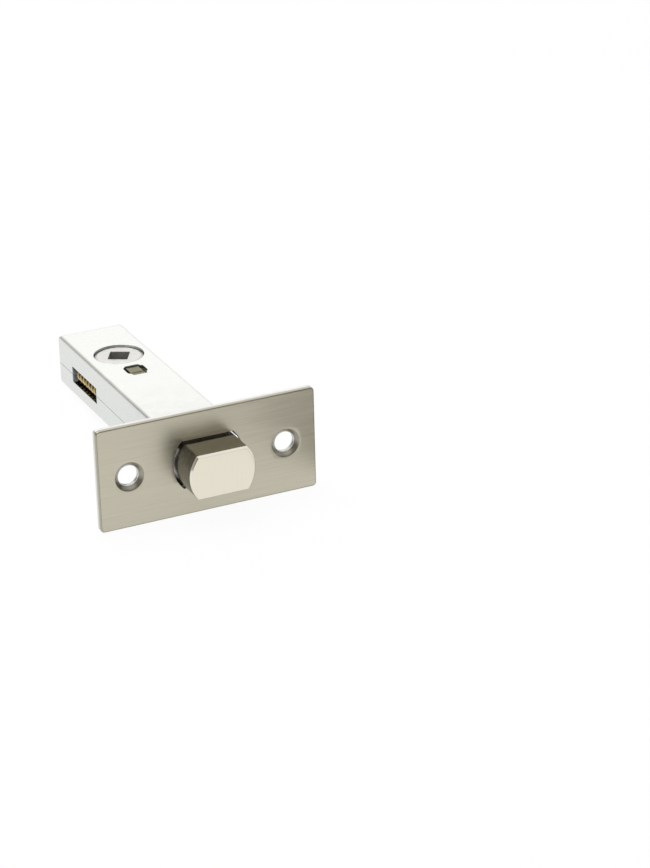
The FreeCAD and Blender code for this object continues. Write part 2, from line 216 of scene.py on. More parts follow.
class StageSizes(bpy.types.PropertyGroup):
    """Camera, floor and lamps."""

    lens: FloatProperty(name="Lens", description="Focal length on a 36 mm sensor", default=113.62)
    floor_reach: length_prop("Floor reach", "Half the size of the floor", 3.0)
    lamp_power: FloatProperty(name="Lamp power", description="Power of the overhead lamp", default=2.2)
    rear_power: FloatProperty(name="Rear power", description="Power of the soft lamp behind", default=1.15)
    room_light: FloatProperty(name="Room light", description="Plain light from all round", default=0.75)


class Shell:
    """Points, four-sided faces and marks of one piece, gathered part by part.

    A point's mark is 1 where the plating is rubbed brighter or a highlight is painted, -1 where the metal is bare
    from the cutter or shade is painted in holes, gaps and recesses, and 0 on the finished faces.
    """

    def __init__(self):
        self.points = []
        self.faces = []
        self.marks = []
        self.count = 0

    def add(self, points, faces, mark):
        """Adds a part whose faces count its own points from zero."""
        points = np.asarray(points, dtype=float)
        mark = np.broadcast_to(np.asarray(mark, dtype=float), points.shape[:-1])
        self.points.append(points.reshape(-1, 3))
        self.marks.append(mark.reshape(-1).copy())
        self.faces.append(np.asarray(faces).reshape(-1, 4) + self.count)
        self.count += len(self.points[-1])

    def grid(self, points, mark=0.0, round_rows=False, round_columns=False):
        """Joins a grid of points, (row, column, xyz), by faces. A round direction joins its end to its start."""
        rows, columns = points.shape[:2]
        index = np.arange(rows * columns).reshape(rows, columns)
        if round_rows:
            index = np.concatenate([index, index[:1]], axis=0)
        if round_columns:
            index = np.concatenate([index, index[:, :1]], axis=1)
        quads = np.stack([index[:-1, :-1], index[1:, :-1], index[1:, 1:], index[:-1, 1:]], axis=-1)
        self.add(points, quads, mark)

    def sheet(self, us, vs, solid, bare, edge, place, mark=0.0):
        """A sheet cut out of a grid of places u, v, with both skins and all its edges.

        At each step of the edge's profile, a pair of inset and depth, a grid point is at
        (u, v) + inset * side, where side is the sign of how the solid cells round the point
        lie in u and in v. It is zero inside the sheet, one step inwards on an edge and both
        at a corner. place(u, v, depth) folds the result into space. Bare cells get no skin.
        """
        around = np.pad(solid.astype(int), 1)
        west_south = around[:-1, :-1]
        east_south = around[1:, :-1]
        west_north = around[:-1, 1:]
        east_north = around[1:, 1:]
        side_u = np.sign(east_south + east_north - west_south - west_north)
        side_v = np.sign(west_north + east_north - west_south - east_south)
        inset = edge[:, 0, None, None]
        depth = np.broadcast_to(edge[:, 1, None, None], (len(edge), len(us), len(vs)))
        u = us[None, :, None] + inset * side_u[None]
        v = vs[None, None, :] + inset * side_v[None]
        points = place(u, v, depth)
        border = (side_u != 0) | (side_v != 0)
        marks = np.broadcast_to(border[None], depth.shape) * mark
        if mark < 0:
            marks[[0, -1]] = 0
        index = np.arange(depth.size).reshape(depth.shape)
        skins = index[[0, -1]]
        cells = np.stack([skins[:, :-1, :-1], skins[:, 1:, :-1], skins[:, 1:, 1:], skins[:, :-1, 1:]], axis=-1)
        faces = [cells[:, solid & ~bare].reshape(-1, 4)]
        along_v = around[:-1, 1:-1] != around[1:, 1:-1]
        strips = np.stack([index[:-1, :, :-1], index[:-1, :, 1:], index[1:, :, 1:], index[1:, :, :-1]], axis=-1)
        faces.append(strips[:, along_v].reshape(-1, 4))
        along_u = around[1:-1, :-1] != around[1:-1, 1:]
        strips = np.stack([index[:-1, :-1], index[:-1, 1:], index[1:, 1:], index[1:, :-1]], axis=-1)
        faces.append(strips[:, along_u].reshape(-1, 4))
        self.add(points, np.concatenate(faces), marks)

    def hole(self, frame_loop, outline, edge, rings, place, mark=0.0):
        """Fills the sheet between a rectangle of grid points and a hole, on both skins, with the hole's wall.

        The rows run from the rectangle to the hole in even shares, down the hole's wall along
        the edge's profile, outline(inset) at each depth, and back to the rectangle underneath.
        """
        wall = np.stack([outline(inset) for inset in edge[:, 0]])
        share = np.linspace(0, 1, rings + 1)[:-1, None, None]
        top = frame_loop * (1 - share) + wall[0] * share
        below = (frame_loop * (1 - share) + wall[-1] * share)[::-1]
        flat = np.concatenate([top, wall, below])
        depth = np.concatenate([np.full(rings, edge[0, 1]), edge[:, 1], np.full(rings, edge[-1, 1])])
        depth = np.broadcast_to(depth[:, None], flat.shape[:2])
        marks = np.zeros(flat.shape[:2])
        marks[rings + 1:rings + len(edge) - 1] = mark
        self.grid(place(flat[..., 0], flat[..., 1], depth), marks, round_columns=True)


def stations(lines, step):
    """Grid places through every line, with even steps of at most one step between two lines."""
    lines = np.unique(np.round(np.asarray(lines, dtype=float), 9))
    parts = [
        np.linspace(a, b, max(1, int(np.ceil((b - a) / step - 1e-6))), endpoint=False)
        for a, b in zip(lines[:-1], lines[1:])
    ]
    return np.concatenate(parts + [lines[-1:]])


def cells_in(us, vs, u0, u1, v0, v1):
    """Which cells of the grid lie in a rectangle."""
    mid_u = (us[:-1] + us[1:]) / 2
    mid_v = (vs[:-1] + vs[1:]) / 2
    return ((mid_u > u0) & (mid_u < u1))[:, None] & ((mid_v > v0) & (mid_v < v1))[None, :]


def rolled(front, back, wall, steps=3):
    """A cut edge as pairs of inset and depth: a quarter circle at each skin and the straight wall between."""
    turn = np.linspace(0, np.pi / 2, steps + 1)
    first = np.stack([front * (1 - np.sin(turn)), front * (1 - np.cos(turn))], axis=1)
    last = np.stack([back * (1 - np.cos(turn)), wall - back * (1 - np.sin(turn))], axis=1)
    return np.concatenate([first, last])


def loop_round(us, vs, u0, u1, v0, v1):
    """The grid points round a rectangle, with each one's side (0 to 3) and its share along that side."""
    tiny = 1e-7
    u = us[(us > u0 - tiny) & (us < u1 + tiny)]
    v = vs[(vs > v0 - tiny) & (vs < v1 + tiny)]
    runs = [
        np.stack([u[:-1], np.full(len(u) - 1, v[0])], axis=1),
        np.stack([np.full(len(v) - 1, u[-1]), v[:-1]], axis=1),
        np.stack([u[:0:-1], np.full(len(u) - 1, v[-1])], axis=1),
        np.stack([np.full(len(v) - 1, u[0]), v[:0:-1]], axis=1),
    ]
    side = np.concatenate([np.full(len(run), number) for number, run in enumerate(runs)])
    share = np.concatenate([np.arange(len(run)) / len(run) for run in runs])
    count = np.concatenate([np.full(len(run), len(run)) for run in runs])
    return np.concatenate(runs), side, share, count


def turn_sides(side, along, out):
    """Turns a run along a side and its distance from the centre into u, v, for sides 0 to 3."""
    u = np.choose(side, [along, out, -along, -out])
    v = np.choose(side, [-out, along, out, -along])
    return np.stack([u, v], axis=1)


def round_box(loop, centre, half_u, half_v, corner):
    """A rectangle with round corners, as one point for each point of the loop round it.

    Each side runs from the middle of one corner to the middle of the next: an eighth of a
    circle, a straight and an eighth of a circle, with at least two steps on each eighth.
    """
    _, side, share, count = loop
    half_side = np.where(side % 2 == 0, half_u, half_v)
    out = np.where(side % 2 == 0, half_v, half_u)
    straight = half_side - corner
    eighth = corner * np.pi / 4
    total = 2 * (straight + eighth)
    bend_share = eighth / total
    seen = np.maximum(bend_share, np.minimum(0.5, 2 / count))
    rising = share / seen * bend_share
    falling = 1 - (1 - share) / seen * bend_share
    flat = bend_share + (share - seen) / np.maximum(1 - 2 * seen, 1e-9) * (1 - 2 * bend_share)
    along = np.where(share < seen, rising, np.where(share > 1 - seen, falling, flat)) * total - total / 2
    run = np.clip(along, -straight, straight)
    angle = (along - run) / corner
    points = turn_sides(side, run + corner * np.sin(angle), out - corner + corner * np.cos(angle))
    return points + np.asarray(centre)


def double_d(side, share, radius, half_flat):
    """A circle with two flats: even steps of length on the flats, even steps of angle on the arcs."""
    corner = np.arcsin(half_flat / radius)
    angle = (2 * share - 1) * corner
    flat_run = (2 * share - 1) * radius * np.cos(corner)
    along = np.where(side % 2 == 0, flat_run, radius * np.sin(angle))
    out = np.where(side % 2 == 0, half_flat, radius * np.cos(angle))
    return turn_sides(side, along, out)


def round_corners(x, z, half_x, half_z, corner):
    """Moves the points of a rectangle's corner squares onto circles: (a, b) goes to (a, b) * max(a, b) / |(a, b)|."""
    a = np.maximum(np.abs(x) - (half_x - corner), 0)
    b = np.maximum(np.abs(z) - (half_z - corner), 0)
    size = np.maximum(np.hypot(a, b), 1e-12)
    scale = np.where((a > 0) & (b > 0), np.maximum(a, b) / size, 1)
    new_x = np.where(a > 0, np.sign(x) * (half_x - corner + a * scale), x)
    new_z = np.where(b > 0, np.sign(z) * (half_z - corner + b * scale), z)
    return new_x, new_z


def build(name, shell, body, nodes, material, sharp=32):
    """Puts a shell into one closed mesh with outward faces, ties it to its body and hides its CAD nodes."""
    faces = np.concatenate(shell.faces)
    used, faces = np.unique(faces, return_inverse=True)
    points = np.concatenate(shell.points)[used]
    mesh = bpy.data.meshes.new(name)
    mesh.from_pydata(points.tolist(), [], faces.reshape(-1, 4).tolist())
    marks = mesh.attributes.new("mark", "FLOAT", "POINT")
    marks.data.foreach_set("value", np.concatenate(shell.marks)[used].astype(np.float32))
    work = bmesh.new()
    work.from_mesh(mesh)
    bmesh.ops.remove_doubles(work, verts=work.verts, dist=1.5e-6)
    bmesh.ops.recalc_face_normals(work, faces=work.faces)
    loose = sum(1 for edge in work.edges if len(edge.link_faces) != 2)
    work.to_mesh(mesh)
    work.free()
    print(name, "faces", len(mesh.polygons), "open or doubled edges", loose)
    mesh.shade_smooth()
    mesh.set_sharp_from_angle(angle=np.radians(sharp))
    piece = bpy.data.objects.new(name, mesh)
    bpy.context.scene.collection.objects.link(piece)
    piece.data.materials.append(material)
    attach(piece, body)
    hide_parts(*nodes)
    return piece


def soften(piece, width, segments=2):
    """Bevels the sharp edges of a piece and evens its normals."""
    bevel = piece.modifiers.new("edges", "BEVEL")
    bevel.width = width
    bevel.segments = segments
    bevel.limit_method = "ANGLE"
    bevel.angle_limit = np.radians(28)
    bevel.use_clamp_overlap = True
    even_normals(piece)


def even_normals(piece):
    """Lets large faces lead the normals, so that flats look flat up to their rolled edges."""
    normals = piece.modifiers.new("even normals", "WEIGHTED_NORMAL")
    normals.keep_sharp = True
    normals.weight = 60


class Tree:
    """Short calls to build one node tree."""

    def __init__(self, tree):
        self.tree = tree

    def node(self, kind, **settings):
        """A node with its settings."""
        made = self.tree.nodes.new(kind)
        for name, value in settings.items():
            setattr(made, name, value)
        return made

    def link(self, source, target):
        """Joins two sockets, or sets the target where the source is a plain value."""
        if isinstance(source, bpy.types.NodeSocket):
            self.tree.links.new(source, target)
        else:
            target.default_value = source

    def math(self, operation, first, second=0.0, clamp=False):
        """One sum of two values."""
        made = self.node("ShaderNodeMath", operation=operation, use_clamp=clamp)
        self.link(first, made.inputs[0])
        self.link(second, made.inputs[1])
        return made.outputs[0]

    def blend(self, share, first, second):
        """A colour between two colours."""
        made = self.node("ShaderNodeMix", data_type="RGBA")
        self.link(share, made.inputs[0])
        self.link(first, made.inputs[6])
        self.link(second, made.inputs[7])
        return made.outputs[2]

    def spread(self, value, low, high, to_low, to_high):
        """Stretches a value from one range to another and keeps it inside."""
        made = self.node("ShaderNodeMapRange")
        self.link(value, made.inputs[0])
        for number, limit in enumerate((low, high, to_low, to_high)):
            made.inputs[number + 1].default_value = limit
        return made.outputs[0]

    def effect(self, group, **values):
        """A shared effect placed with its own values."""
        made = self.node("ShaderNodeGroup", node_tree=group)
        for name, value in values.items():
            made.inputs[name.replace("_", " ")].default_value = value
        return made


def new_effect(name, inputs, outputs):
    """An empty node group with named inputs and outputs."""
    group = bpy.data.node_groups.new(name, "ShaderNodeTree")
    for label, default in inputs:
        socket = group.interface.new_socket(label, in_out="INPUT", socket_type="NodeSocketFloat")
        socket.default_value = default
    for label in outputs:
        group.interface.new_socket(label, in_out="OUTPUT", socket_type="NodeSocketFloat")
    tree = Tree(group)
    return group, tree, tree.node("NodeGroupInput"), tree.node("NodeGroupOutput")


def streak_effect():
    """Grain: noise on the object's coordinates, stretched by a different scale on each axis."""
    inputs = [("Scale X", 100.0), ("Scale Y", 1000.0), ("Scale Z", 1000.0)]
    group, tree, given, result = new_effect("Streaks", inputs, ["Streaks", "Fine streaks"])
    place = tree.node("ShaderNodeTexCoord")
    scale = tree.node("ShaderNodeCombineXYZ")
    for number in range(3):
        tree.link(given.outputs[number], scale.inputs[number])
    stretch = tree.node("ShaderNodeVectorMath", operation="MULTIPLY")
    tree.link(place.outputs["Object"], stretch.inputs[0])
    tree.link(scale.outputs[0], stretch.inputs[1])
    broad = tree.node("ShaderNodeTexNoise")
    broad.inputs["Scale"].default_value = 0.35
    broad.inputs["Detail"].default_value = 2
    tree.link(stretch.outputs[0], broad.inputs["Vector"])
    fine = tree.node("ShaderNodeTexNoise")
    fine.inputs["Scale"].default_value = 1.0
    fine.inputs["Detail"].default_value = 3
    tree.link(stretch.outputs[0], fine.inputs["Vector"])
    tree.link(tree.spread(broad.outputs[0], 0.3, 0.7, 0, 1), result.inputs[0])
    tree.link(tree.spread(fine.outputs[0], 0.3, 0.7, 0, 1), result.inputs[1])
    return group


def cloud_effect():
    """Cloudiness: two sizes of noise on the object's coordinates, and small dark specks."""
    inputs = [("Scale", 300.0), ("Speck scale", 900.0)]
    group, tree, given, result = new_effect("Clouds", inputs, ["Clouds", "Specks"])
    place = tree.node("ShaderNodeTexCoord")
    broad = tree.node("ShaderNodeTexNoise")
    broad.inputs["Detail"].default_value = 4
    broad.inputs["Roughness"].default_value = 0.6
    tree.link(place.outputs["Object"], broad.inputs["Vector"])
    tree.link(given.outputs[0], broad.inputs["Scale"])
    specks = tree.node("ShaderNodeTexNoise")
    specks.inputs["Detail"].default_value = 1
    tree.link(place.outputs["Object"], specks.inputs["Vector"])
    tree.link(given.outputs[1], specks.inputs["Scale"])
    tree.link(tree.spread(broad.outputs[0], 0.32, 0.68, 0, 1), result.inputs[0])
    tree.link(tree.spread(specks.outputs[0], 0.66, 0.78, 0, 1), result.inputs[1])
    return group


def wear_and_light_effect():
    """Wear and painted light: the mesh's own mark, above zero where it is rubbed or a highlight is painted and below
    zero where it is cut or shade is painted, broken up by noise.
    """
    group, tree, given, result = new_effect("Edge wear and painted light", [("Amount", 0.5), ("Scale", 700.0)], ["Wear", "Cut"])
    mark = tree.node("ShaderNodeAttribute", attribute_name="mark")
    place = tree.node("ShaderNodeTexCoord")
    patches = tree.node("ShaderNodeTexNoise")
    patches.inputs["Detail"].default_value = 3
    tree.link(place.outputs["Object"], patches.inputs["Vector"])
    tree.link(given.outputs[1], patches.inputs["Scale"])
    share = tree.spread(patches.outputs[0], 0.35, 0.6, 0.35, 1)
    wear_and_light = tree.math("MULTIPLY", mark.outputs["Fac"], share)
    tree.link(tree.math("MULTIPLY", wear_and_light, given.outputs[0], clamp=True), result.inputs[0])
    # Cut: bare cut metal and painted shade, both marked below zero
    cut = tree.math("MULTIPLY", mark.outputs["Fac"], -1.0)
    cut = tree.math("MULTIPLY", cut, tree.spread(patches.outputs[0], 0.3, 0.7, 0.85, 1), clamp=True)
    tree.link(cut, result.inputs[1])
    return group


def shared_effect(name):
    """A shared effect, built the first time that a material needs it."""
    makers = {"Streaks": streak_effect, "Clouds": cloud_effect, "Edge wear and painted light": wear_and_light_effect}
    return bpy.data.node_groups.get(name) or makers[name]()


def shades(colour, low, high):
    """A colour made darker and lighter by two factors."""
    dark = [part * low for part in colour] + [1]
    light = [min(1, part * high) for part in colour] + [1]
    return dark, light


def metal(name, colour, roughness, contrast, grain=None, clouds=None, wear=0.4, bump=0.0, rough_spread=0.08,
          smudge=0.0, cut_rough=1.9, cut_and_shade_share=0.16):
    """A plated metal: grain and clouds vary its colour and roughness, its rubbed edges and painted highlights are
    lighter, and its cut edges and painted shade are darker.
    """
    material = bpy.data.materials.new(name)
    material.use_nodes = True
    tree = Tree(material.node_tree)
    shader = material.node_tree.nodes["Principled BSDF"]
    shader.inputs["Metallic"].default_value = 1
    dark, light = shades(colour, 1 - contrast, 1 + contrast)
    height = None
    if grain:
        streaks = tree.effect(shared_effect("Streaks"), Scale_X=grain[0], Scale_Y=grain[1], Scale_Z=grain[2])
        broad = tree.math("MULTIPLY", streaks.outputs[0], 0.55)
        share = tree.math("ADD", broad, tree.math("MULTIPLY", streaks.outputs[1], 0.45))
        height = streaks.outputs[1]
    if clouds:
        cloud = tree.effect(shared_effect("Clouds"), Scale=clouds[0], Speck_scale=clouds[1])
        if grain:
            share = tree.math("MULTIPLY", tree.math("ADD", share, cloud.outputs[0]), 0.5)
        else:
            share = cloud.outputs[0]
            height = cloud.outputs[0]
        shaded = tree.blend(share, dark, light)
        shaded = tree.blend(tree.math("MULTIPLY", cloud.outputs[1], 0.12), shaded, shades(colour, 0.6, 1)[0])
    else:
        shaded = tree.blend(share, dark, light)
    if smudge:
        place = tree.node("ShaderNodeTexCoord")
        axes = tree.node("ShaderNodeSeparateXYZ")
        tree.link(place.outputs["Object"], axes.inputs[0])
        near = tree.spread(axes.outputs[1], 12 * MM, 36 * MM, smudge, 0)
        soil = tree.effect(shared_effect("Clouds"), Scale=240, Speck_scale=700)
        patchy = tree.math("MULTIPLY", near, soil.outputs[0], clamp=True)
        shaded = tree.blend(patchy, shaded, [part * f for part, f in zip(colour, (0.80, 0.76, 0.76))] + [1])
    # Marks: rubbed edges and painted highlights get the lighter colour, cut edges and painted shade the darker one
    wear_and_light = tree.effect(shared_effect("Edge wear and painted light"), Amount=wear)
    rubbed_and_highlight = [min(1, part * 0.55 + 0.42) for part in colour] + [1]
    bare = [part * cut_and_shade_share + 0.02 for part in colour] + [1]
    shaded = tree.blend(wear_and_light.outputs[1], shaded, bare)
    tree.link(tree.blend(wear_and_light.outputs[0], shaded, rubbed_and_highlight), shader.inputs["Base Color"])
    rough = tree.spread(share, 0, 1, roughness - rough_spread, roughness + rough_spread)
    rough = tree.math("MULTIPLY", rough, tree.spread(wear_and_light.outputs[0], 0, 1, 1, 0.6))
    rough = tree.math("MULTIPLY", rough, tree.spread(wear_and_light.outputs[1], 0, 1, 1, cut_rough))
    tree.link(rough, shader.inputs["Roughness"])
    if bump:
        relief = tree.node("ShaderNodeBump")
        relief.inputs["Strength"].default_value = bump
        relief.inputs["Distance"].default_value = 0.00002
        tree.link(height, relief.inputs["Height"])
        tree.link(relief.outputs[0], shader.inputs["Normal"])
    return material


def finish_for(slot):
    """The material of one slot, made the first time that a piece needs it."""
    found = bpy.data.materials.get("finish " + slot)
    if found:
        return found
    colours = bpy.context.scene.deadbolt_finishes
    name = "finish " + slot
    if slot == "satin_nickel":
        return metal(name, colours.satin, 0.36, 0.10, grain=(130, 2500, 5200), wear=0.35, bump=0.30,
                     cut_rough=0.7)
    if slot == "zinc_plate":
        return metal(name, colours.zinc, 0.23, 0.025, clouds=(180, 1400), wear=0.25, bump=0.10, smudge=0.5,
                     cut_rough=0.6, cut_and_shade_share=0.06)
    if slot == "polished_nickel":
        return metal(
            name, colours.nickel, 0.17, 0.022, grain=(5200, 900, 300), wear=0.5, bump=0.05, rough_spread=0.03,
            cut_and_shade_share=0.08,
        )
    if slot == "follower_metal":
        return metal(name, colours.follower, 0.36, 0.08, clouds=(700, 2200), wear=0.4, bump=0.25)
    if slot == "spring_wire":
        return metal(name, colours.wire, 0.30, 0.22, clouds=(420, 1800), wear=0.0, bump=0.15)
    if slot == "yellow_passivate":
        return metal(name, colours.olive, 0.38, 0.16, clouds=(600, 2400), wear=0.35, bump=0.30)
    return metal(name, colours.steel, 0.38, 0.10, grain=(1500, 200, 1500), wear=0.0, bump=0.20)


def forend_grid(sizes, zones, hole_step=0.5 * MM):
    """Grid stations of a forend plate, with lines at its corners and at each zone."""
    half_x = sizes.length / 2
    half_z = sizes.width / 2
    x_lines = [-half_x, -half_x + sizes.corner, half_x - sizes.corner, half_x]
    z_lines = [-half_z, -half_z + sizes.corner, half_z - sizes.corner, half_z]
    for u0, u1, v0, v1 in zones:
        x_lines += [u0, u1]
        z_lines += [v0, v1]
    corner_steps = np.linspace(0, sizes.corner, 5)
    x_lines += list(half_x - corner_steps) + list(corner_steps - half_x)
    z_lines += list(half_z - corner_steps) + list(corner_steps - half_z)
    return stations(x_lines, hole_step), stations(z_lines, hole_step)


def plate(shell, sizes, front, holes, edge, mark=0.0):
    """A forend plate: the sheet x, z at y = front + depth with round corners, and a patch round each hole."""
    zones = [zone for zone, outline, profile, hole_mark in holes]
    us, vs = forend_grid(sizes, zones)
    solid = np.ones((len(us) - 1, len(vs) - 1), dtype=bool)
    bare = np.zeros_like(solid)
    for zone in zones:
        bare |= cells_in(us, vs, *zone)

    def place(u, v, depth):
        x, z = round_corners(u, v, sizes.length / 2, sizes.width / 2, sizes.corner)
        return np.stack([x, front + depth, z], axis=-1)

    shell.sheet(us, vs, solid, bare, edge, place, mark)
    for zone, outline, profile, hole_mark in holes:
        loop = loop_round(us, vs, *zone)
        shell.hole(loop[0], outline(loop), profile, 3, place, hole_mark)


def square_zone(x, half_x, half_z):
    """The rectangle of the grid that a hole is fitted into."""
    return (x - half_x, x + half_x, -half_z, half_z)


def bolt_opening(sizes):
    """The bolt's double-D opening in the cover, as a function of the loop and then of the inset."""
    radius = sizes.opening_across / 2
    half = sizes.opening_flats / 2
    return lambda loop: lambda inset: double_d(loop[1], loop[2], radius + inset, half + inset)


def screw_opening(sizes, x):
    """A round screw hole, as a function of the loop and then of the inset."""
    radius = sizes.screw_hole / 2
    return lambda loop: lambda inset: round_box(loop, (x, 0), radius + inset, radius + inset, radius + inset)


class DEADBOLT_OT_forend(bpy.types.Operator):
    """Build the satin nickel cover and the zinc plated base behind it"""

    bl_idname = "deadbolt.forend"
    bl_label = "Forend"

    def execute(self, context):
        sizes = context.scene.deadbolt_forend
        case = context.scene.deadbolt_case
        screws = (-sizes.screw_spacing / 2, sizes.screw_spacing / 2)
        cone = (sizes.countersink - sizes.screw_hole) / 2
        lip = 0.10 * MM
        wall = sizes.cover_wall
        sink = np.array([
            [cone + lip, 0],
            [cone + 0.3 * lip, 0.25 * lip],
            [cone - 0.8 * lip, 0.9 * lip],
            [cone - 0.5 * wall, 0.5 * wall],
            [cone - wall + 0.3 * lip, wall - 0.3 * lip],
            [cone - wall, wall],
        ])
        rim = rolled(0.12 * MM, 0.05 * MM, wall)
        # Painted shade: the countersinks are darkened, and the wall of the bolt's opening fully, as shade in these
        # recesses and in the gap round the bolt
        holes = [(square_zone(x, 5.5 * MM, 5.5 * MM), screw_opening(sizes, x), sink, -0.5) for x in screws]
        holes.append((square_zone(0, 11.5 * MM, 9.0 * MM), bolt_opening(sizes), rim, -1.0))
        cover = Shell()
        # Painted shade: a darker line along the cover's rounded outer edges
        plate(cover, sizes, COVER_LOW[1], holes, rolled(sizes.cover_edge, 0.05 * MM, wall, steps=4), -0.3)
        piece = build("cover_plate", cover, "lock_case", ["forend_cover"],
                      finish_for("satin_nickel"))
        even_normals(piece)

        wall = sizes.base_wall
        rim = rolled(0.05 * MM, 0.08 * MM, wall, steps=2)
        half_x = case.width / 2 + sizes.case_gap
        half_z = case.height / 2 + sizes.case_gap
        corner = case.bend + sizes.case_gap

        def case_opening(loop):
            return lambda inset: round_box(loop, (0, 0), half_x + inset, half_z + inset, corner + inset)

        # Painted shade: the base plate's screw holes are darkened a little and the gap round the case fully
        holes = [(square_zone(x, 5.5 * MM, 5.5 * MM), screw_opening(sizes, x), rim, -0.3) for x in screws]
        holes.append((square_zone(0, 11.5 * MM, 9.0 * MM), case_opening, rim, -1.0))
        base = Shell()
        plate(base, sizes, BASE_LOW[1], holes, rolled(sizes.base_edge, sizes.base_edge, wall))
        piece = build("base_plate", base, "lock_case", ["forend_base"], finish_for("zinc_plate"))
        even_normals(piece)
        return {"FINISHED"}


def case_blank(sizes):
    """The case's section as a path from the upper edge of the seam, over the top and back to the seam.

    At length s along it, the bend centre (cx, cz) and the outward angle are linear between the
    break points: a flat moves the centre, and a bend turns the angle by a quarter.
    """
    cx = sizes.width / 2 - sizes.bend
    cz = sizes.height / 2 - sizes.bend
    upper = sizes.seam_z + sizes.seam_gap / 2
    lower = sizes.seam_z - sizes.seam_gap / 2
    quarter = sizes.bend * np.pi / 2
    runs = [cz - upper, quarter, 2 * cx, quarter, 2 * cz, quarter, 2 * cx, quarter, lower + cz]
    breaks = np.concatenate([[0], np.cumsum(runs)])
    centre_x = np.array([-cx, -cx, -cx, cx, cx, cx, cx, -cx, -cx, -cx])
    centre_z = np.array([upper, cz, cz, cz, cz, -cz, -cz, -cz, -cz, lower])
    half = np.pi / 2
    angle = np.array([2, 2, 1, 1, 0, 0, -1, -1, -2, -2]) * half
    return breaks, centre_x, centre_z, angle, cx, cz


